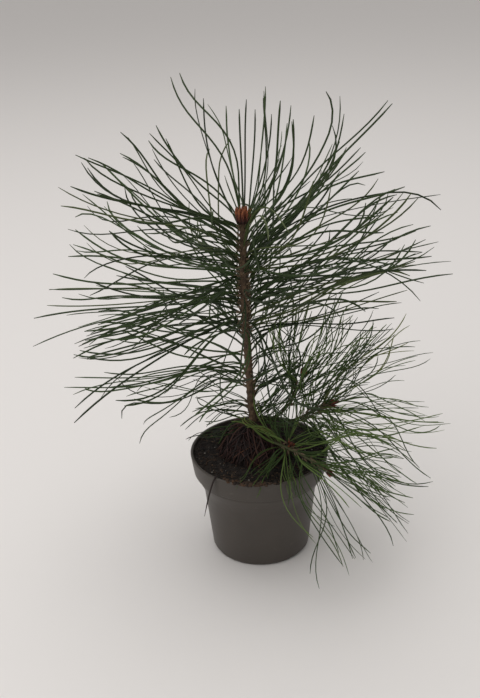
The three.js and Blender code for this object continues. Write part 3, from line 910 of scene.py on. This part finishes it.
def make_compost(ground, crumb_mats, rng):
    rim, height = pot_sizes()
    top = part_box("compost")[1].z - BED_SINK
    edge = inner_radius(top, rim, height) - 0.1 * MM
    angles = np.linspace(0, TURN, BED_STEPS, endpoint=False)
    radii = np.linspace(0.004, 1, BED_RINGS) * edge
    vertices = [
        (r * math.cos(a), r * math.sin(a), bed_height(r * math.cos(a), r * math.sin(a), top))
        for r in radii for a in angles
    ]
    quads = ring_quads(0, BED_RINGS, BED_STEPS)
    under = [(x, y, top - BED_DEPTH) for x, y, _ in vertices[-BED_STEPS:]]
    quads = np.concatenate([quads, ring_quads((BED_RINGS - 1) * BED_STEPS, 2, BED_STEPS)])
    build("compost_bed", np.array(vertices + under), [quads[:, ::-1]], [ground], None, ["compost"])
    make_crumbs(edge, top, crumb_mats, rng)


def crumb_shape():
    """A twenty-sided lump."""
    g = (1 + math.sqrt(5)) / 2
    points = [(-1, g, 0), (1, g, 0), (-1, -g, 0), (1, -g, 0), (0, -1, g), (0, 1, g),
              (0, -1, -g), (0, 1, -g), (g, 0, -1), (g, 0, 1), (-g, 0, -1), (-g, 0, 1)]
    faces = [(0, 11, 5), (0, 5, 1), (0, 1, 7), (0, 7, 10), (0, 10, 11), (1, 5, 9), (5, 11, 4),
             (11, 10, 2), (10, 7, 6), (7, 1, 8), (3, 9, 4), (3, 4, 2), (3, 2, 6), (3, 6, 8),
             (3, 8, 9), (4, 9, 5), (2, 4, 11), (6, 2, 10), (8, 6, 7), (9, 8, 1)]
    return unit(np.array(points, float)), np.array(faces)


def lumps(joined, places, sizes, flat, kinds, rng):
    """Adds a ragged, flattened lump at each place."""
    shape, faces = crumb_shape()
    kinds = np.repeat(kinds, len(faces))
    count = len(places)
    ragged = rng.uniform(0.65, 1.2, (count, len(shape), 1))
    stretch = rng.uniform(0.6, 1.3, (count, 1, 3)) * np.array([1, 1, flat])
    points = shape[None] * ragged * stretch * sizes[:, None, None] + places[:, None, :]
    faces = faces[None] + (np.arange(count) * len(shape))[:, None, None]
    joined.put(points.reshape(-1, 3), faces.reshape(-1, 3), kinds)


def on_bed(count, edge, top, rng, lift):
    """Places spread evenly over the compost."""
    radius = edge * np.sqrt(rng.uniform(0, 1, count))
    angle = rng.uniform(0, TURN, count)
    x, y = radius * np.cos(angle), radius * np.sin(angle)
    z = np.array([bed_height(a, b, top) for a, b in zip(x, y)]) + lift
    return np.stack([x, y, z], axis=1)


def make_crumbs(edge, top, mats, rng):
    joined = Joined()
    places = on_bed(CRUMBS, edge - 0.6 * MM, top, rng, 0.1 * MM)
    sizes = np.clip(rng.lognormal(math.log(0.55), 0.42, CRUMBS), 0.25, 1.9) * MM
    lumps(joined, places, sizes, 0.75, rng.choice(4, CRUMBS, p=[0.45, 0.33, 0.17, 0.05]), rng)
    specks = on_bed(SPECKS, edge - 1.2 * MM, top, rng, 0.5 * MM)
    lumps(joined, specks, rng.uniform(0.25, 0.6, SPECKS) * MM, 0.6, np.full(SPECKS, 4), rng)
    start = on_bed(FIBRES, edge - 6 * MM, top, rng, 0.7 * MM)
    heading = rng.uniform(0, TURN, FIBRES)
    length = rng.uniform(4, 14, FIBRES) * MM
    s = np.linspace(-0.5, 0.5, 7)[None, :]
    bend = heading[:, None] + rng.normal(0, 0.9, (FIBRES, 1)) * s
    x = start[:, :1] + length[:, None] * s * np.cos(bend)
    y = start[:, 1:2] + length[:, None] * s * np.sin(bend)
    inside = np.minimum(1, (edge - 1.0 * MM) / np.maximum(np.hypot(x, y), 1e-6))
    x, y = x * inside, y * inside
    z = start[:, 2:] + rng.uniform(0, 1.2, (FIBRES, 1)) * MM * (1 - 4 * s ** 2)
    size = rng.uniform(0.12, 0.3, (FIBRES, 1)) * MM * np.ones((1, 7))
    joined.tubes(np.stack([x, y, z], axis=-1), size, size * 0.7, ROUND_SECTION,
                 np.tile(UP, (FIBRES, 1)) + rng.normal(0, 0.2, (FIBRES, 3)), rng.choice([1, 2, 5], FIBRES))
    litter(joined, edge, top, rng)
    joined.piece("compost_crumbs", mats, "compost")


def litter(joined, edge, top, rng):
    """Brown flakes caught along the front of the rim."""
    rim, height = pot_sizes()
    angle = FLAKES_AT + rng.normal(0, 0.21, FLAKES)
    radius = rim + rng.uniform(-4.5, 0.5, FLAKES) * MM
    z = np.interp(radius, [edge - 1 * MM, rim - 1.2 * MM, rim], [top + 1 * MM, height, height - 0.4 * MM])
    z = z + rng.uniform(0, 0.7, FLAKES) * MM
    places = np.stack([radius * np.cos(angle), radius * np.sin(angle), z], axis=1)
    lumps(joined, places, rng.uniform(0.5, 1.7, FLAKES) * MM, 0.45, rng.choice([1, 2, 2, 5], FLAKES), rng)


# ------------ stems, buds and dead needles

def relief(along, around, phase):
    """Raised leaf scars in a spiral: a height in metres for each vertex of a stem."""
    count = int(along.max() / SCAR_PITCH)
    lift = np.zeros_like(along)
    for k in range(count):
        near = np.abs(along - k * SCAR_PITCH) < 3 * MM
        turn = turn_from(around[near], k * GOLDEN_ANGLE + phase)
        fall = (along[near] - k * SCAR_PITCH) / (1.25 * MM)
        bump = np.exp(-(fall ** 2) * np.where(fall > 0, 2.2, 0.5) - (turn / 0.34) ** 2)
        lift[near] = np.maximum(lift[near], bump)
    return lift * SCAR_HEIGHT


def stem_tube(centres, radii, phase, scars):
    rings = len(centres)
    tangents = unit(np.gradient(centres, axis=0))
    side = unit(np.cross(np.array([0.0, 1.0, 0.0]), tangents))
    other = np.cross(tangents, side)
    steps = np.concatenate([[0], np.cumsum(np.linalg.norm(np.diff(centres, axis=0), axis=1))])
    angles = np.linspace(0, TURN, STEM_STEPS, endpoint=False)
    along = np.repeat(steps, STEM_STEPS)
    around = np.tile(angles, rings)
    out = side[:, None] * np.cos(angles)[None, :, None] + other[:, None] * np.sin(angles)[None, :, None]
    furrow = 0.035 * np.sin(7 * around + 60 * along) + 0.03 * np.sin(11 * around - 90 * along)
    radius = np.repeat(radii, STEM_STEPS) * (1 + furrow) + scars * relief(along, around, phase)
    vertices = np.repeat(centres, STEM_STEPS, axis=0) + out.reshape(-1, 3) * radius[:, None]
    return vertices, ring_quads(0, rings, STEM_STEPS)


def make_stems(stem, shoots, mats):
    joined = Joined()
    z = np.linspace(stem.low - 1.5 * MM, stem.high + 0.5 * MM, STEM_RINGS)
    vertices, quads = stem_tube(stem.centre(z), stem.radius(z) * 0.82, 0.0, 1.0)
    joined.put(vertices, quads, np.zeros(len(quads), int))
    for order, shoot in enumerate(shoots):
        t = np.linspace(0, 1, STEM_RINGS // 3)
        radii = np.interp(t, [0, 0.1, 0.6, 1], [1.6, 0.95, 0.65, 0.6]) * MM
        vertices, quads = stem_tube(shoot.at(t), radii, 1.7 * order, 0.5)
        joined.put(vertices, quads, np.ones(len(quads), int))
    joined.piece("stems", mats, "bark", ["trunk", *nodes_named("shoot_")])


def bud_swell(u):
    """How fat a bud is along its length, as a share of its widest."""
    return np.sin(math.pi * np.clip(0.22 + 0.78 * u, 0, 1)) ** 0.8


def put_bud(joined, base, axis, length, radius, rng, brightest=3):
    """A pointed bud of overlapping scales, darker at its foot and brightest at its tip."""
    x, y, z = axes_round(axis)
    u = np.linspace(0, 1, 9)
    path = base + np.outer(u * length, z)
    size = (radius * 0.86 * bud_swell(u) + 0.05 * MM)[None]
    joined.tubes(path[None], size, size, ROUND_SECTION, x[None], [0])
    k = np.arange(BUD_SCALES)
    low = 0.02 + 0.72 * k / BUD_SCALES
    turn = k * GOLDEN_ANGLE + rng.uniform(0, TURN)
    s = np.linspace(0, 1, 6)
    at = low[:, None] + 0.3 * s[None]
    out = radius * (0.9 * bud_swell(at) + 0.16 * s[None] ** 2)
    way = np.cos(turn)[:, None] * x + np.sin(turn)[:, None] * y
    paths = base + (at * length)[..., None] * z + out[..., None] * way[:, None]
    width = np.sin(math.pi * (0.25 + 0.74 * s))[None] * radius * 0.42 * np.ones((BUD_SCALES, 1))
    shade = 3.2 * (k / BUD_SCALES) + rng.uniform(0, 0.9, BUD_SCALES)
    kinds = np.clip(shade.astype(int), 0, brightest)
    joined.tubes(paths, width, 0.3 * width, ROUND_SECTION, way, kinds)


def make_buds(stem, shoots, mats, rng):
    joined = Joined()
    top = stem.centre(stem.high)
    low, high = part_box("leader_buds")
    length = high.z - stem.high
    spread = (high.x - low.x) / 2
    put_bud(joined, top, UP, length * 0.86, 0.28 * spread, rng)
    for ring, (count, share, tilt) in enumerate(((6, 0.93, 5), (10, 0.86, 11))):
        for i in range(count):
            angle = TURN * (i + 0.5 * ring) / count + rng.normal(0, 0.12)
            lean = math.radians(tilt + rng.normal(0, 3))
            way = np.array([math.cos(angle), math.sin(angle), 0])
            axis = unit(way * math.sin(lean) + UP * math.cos(lean))
            base = top + way * spread * (0.36 + 0.3 * ring) - UP * (0.8 - 0.5 * ring) * MM
            own_length = length * share * rng.uniform(0.82, 1.05)
            put_bud(joined, base, axis, own_length, spread * rng.uniform(0.19, 0.25), rng)
    for shoot in shoots:
        put_bud(joined, shoot.tip, shoot.look, shoot.bud_length, 1.1 * MM, rng, 1)
        x, y, _ = axes_round(shoot.look)
        for i in range(3):
            angle = TURN * i / 3 + rng.normal(0, 0.2)
            way = math.cos(angle) * x + math.sin(angle) * y
            base, axis = shoot.tip + way * 1.1 * MM, unit(shoot.look + 0.3 * way)
            put_bud(joined, base, axis, shoot.bud_length * 0.66, 0.7 * MM, rng, 2)
    joined.piece("bud_scales", mats, "buds", ["leader_buds", *nodes_named("bud_")])


def hang_over_rim(joined):
    """One dark dead needle caught on the rim, front left, with a bent foot and its tip outside the wall."""
    rim, height = pot_sizes()
    s = np.linspace(0, 1, 11)[:, None]
    way = np.array([math.cos(HANGING_AT), math.sin(HANGING_AT), 0])
    aside = np.array([-way[1], way[0], 0])
    top = way * (rim - 1.5 * MM) + UP * (height + 1.3 * MM)
    over = way * (rim + 3.4 * MM) + UP * (height + 0.2 * MM)
    low = way * (rim + 3 * MM) - aside * 8 * MM + UP * (height - 30 * MM)
    path = cubic(top, over, (over + low) / 2, low, s)
    size = (0.62 * MM * np.clip((1.08 - s) / 0.4, 0.3, 1)).T
    joined.tubes(path[None], size, size * 0.8, ROUND_SECTION, way[None], [0])


def make_dead_needles(stem, mats, rng):
    """Old brown needles that droop from the trunk's foot on to the compost."""
    low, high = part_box("dead_needles")
    reach = (high.x - low.x) / 2
    count = DEAD_NEEDLES
    angle = rng.uniform(0, TURN, count)
    z0 = rng.uniform(low.z + 1 * MM, high.z + 5 * MM, count)
    length = rng.uniform(0.3, 1.1, count) * reach
    s = np.linspace(0, 1, 11)[None, :]
    turn = angle[:, None] + rng.normal(0, 0.5, (count, 1)) * s
    turn = turn + rng.normal(0, 0.35, (count, 1)) * np.sin(5 * s)
    out = 2.4 * MM + length[:, None] * s ** rng.uniform(0.8, 1.3, (count, 1))
    drop = (z0 - low.z)[:, None] * (1 - s ** rng.uniform(1.2, 2.4, (count, 1)))
    z = low.z + drop + rng.uniform(0.2, 1.4, (count, 1)) * MM
    z = z + rng.uniform(0, 3.5, (count, 1)) * MM * np.sin(math.pi * s)
    foot = stem.centre(z0)
    paths = np.stack([foot[:, :1] + out * np.cos(turn), foot[:, 1:2] + out * np.sin(turn), z], axis=-1)
    size = rng.uniform(0.3, 0.5, (count, 1)) * MM * np.clip((1.02 - s) / 0.2, 0, 1) ** 0.5
    joined = Joined()
    joined.tubes(paths, size, size * 0.7, NEEDLE_SECTION, rng.normal(0, 1, (count, 3)),
                 rng.choice(4, count, p=[0.5, 0.36, 0.115, 0.025]))
    hang_over_rim(joined)
    joined.piece("dead_needle_tuft", mats, "dead_needles", ["dead_needles"])


# ------------ camera, light and floor

def add_camera():
    pitch, yaw, roll = (math.radians(a) for a in (CAMERA_PITCH, CAMERA_YAW, CAMERA_ROLL))
    ahead = Vector((math.sin(yaw) * math.cos(pitch), math.cos(yaw) * math.cos(pitch), math.sin(pitch)))
    level = ahead.cross(Vector((0, 0, 1))).normalized()
    over = level.cross(ahead)
    right = level * math.cos(roll) + over * math.sin(roll)
    over = over * math.cos(roll) - level * math.sin(roll)
    data = bpy.data.cameras.new("camera")
    data.lens = CAMERA_LENS
    data.sensor_width = 36
    data.clip_start = 0.01
    camera = add_object("camera", data)
    camera.matrix_world = Matrix.Translation(CAMERA_AT) @ Matrix((right, over, -ahead)).transposed().to_4x4()
    bpy.context.scene.camera = camera


def add_area(name, at, size, power, color, aim=(0, 0, 0.12)):
    data = bpy.data.lights.new(name, "AREA")
    data.shape = "DISK"
    data.size = size
    data.energy = power
    data.color = color
    light = add_object(name, data)
    light.location = at
    light.rotation_euler = (Vector(aim) - Vector(at)).to_track_quat("-Z", "Y").to_euler()


def add_studio():
    bpy.context.scene.view_settings.view_transform = "Standard"
    world = bpy.data.worlds.new("studio")
    world.use_nodes = True
    background = world.node_tree.nodes["Background"]
    background.inputs["Color"].default_value = (0.80, 0.772, 0.75, 1)
    background.inputs["Strength"].default_value = 0.63
    bpy.context.scene.world = world
    add_area("ceiling_softbox", (-0.1, 0.4, 1.7), 1.8, 13, SOFT_WHITE)
    add_area("front_fill", (-0.8, -0.7, 1.0), 1.4, 5, SOFT_WHITE)
    mesh = bpy.data.meshes.new("floor")
    half = FLOOR_HALF
    corners = [(-half, -half, 0), (half, -half, 0), (half, half, 0), (-half, half, 0)]
    mesh.from_pydata(corners, [], [(0, 1, 2, 3)])
    floor = add_object("floor", mesh)
    mesh.materials.append(plain("floor_pale", (0.78, 0.765, 0.755), 0.6))


# ------------ the tree

def main():
    add_camera()
    add_studio()
    stem = Stem("trunk")
    shoots = [Shoot(name, stem) for name in SIDE_NEEDLES]
    sheath = plain("sheath", (0.120, 0.085, 0.050), 0.8)
    greens = [
        plain("needle_deep", (0.017, 0.030, 0.009), 0.55, 0.25),
        plain("needle_dark", (0.025, 0.045, 0.012), 0.55, 0.25),
        plain("needle_mid", (0.037, 0.066, 0.018), 0.55, 0.25),
        plain("needle_olive", (0.056, 0.076, 0.022), 0.6, 0.25),
    ]
    fresh = [
        plain("side_dark", (0.030, 0.056, 0.014), 0.55, 0.25),
        plain("side_mid", (0.058, 0.100, 0.024), 0.55, 0.25),
        plain("side_bright", (0.094, 0.146, 0.036), 0.55, 0.25),
        plain("side_yellow", (0.150, 0.175, 0.050), 0.6, 0.25),
    ]
    crown_needles(stem, greens, sheath, np.random.default_rng(SEEDS["crown"]))
    for order, shoot in enumerate(shoots):
        side_needles(shoot, fresh, sheath, np.random.default_rng(SEEDS["side"] + order))
    make_pot(pot_plastic())
    crumb_mats = [
        plain("peat_black", (0.006, 0.004, 0.003), 0.95),
        plain("peat_dark", (0.016, 0.010, 0.007), 0.95),
        plain("peat_brown", (0.045, 0.026, 0.015), 0.95),
        plain("peat_tan", (0.095, 0.058, 0.033), 0.9),
        plain("pale_grit", (0.28, 0.26, 0.23), 0.9),
        plain("litter_rust", (0.060, 0.030, 0.014), 0.9),
    ]
    make_compost(compost_ground(), crumb_mats, np.random.default_rng(SEEDS["compost"]))
    make_stems(stem, shoots, [young_bark(), plain("shoot_bark", (0.052, 0.058, 0.021), 0.75)])
    make_buds(stem, shoots, [
        plain("bud_foot", (0.034, 0.009, 0.006), 0.6),
        plain("bud_red", (0.085, 0.019, 0.009), 0.6),
        plain("bud_rust", (0.165, 0.042, 0.016), 0.6),
        plain("bud_orange", (0.300, 0.096, 0.036), 0.6),
    ], np.random.default_rng(SEEDS["buds"]))
    make_dead_needles(stem, [
        plain("dead_dark", (0.013, 0.006, 0.005), 0.8),
        plain("dead_red", (0.034, 0.011, 0.009), 0.8),
        plain("dead_brown", (0.058, 0.023, 0.014), 0.8),
        plain("dead_orange", (0.140, 0.058, 0.025), 0.8),
    ], np.random.default_rng(SEEDS["dead"]))


main()
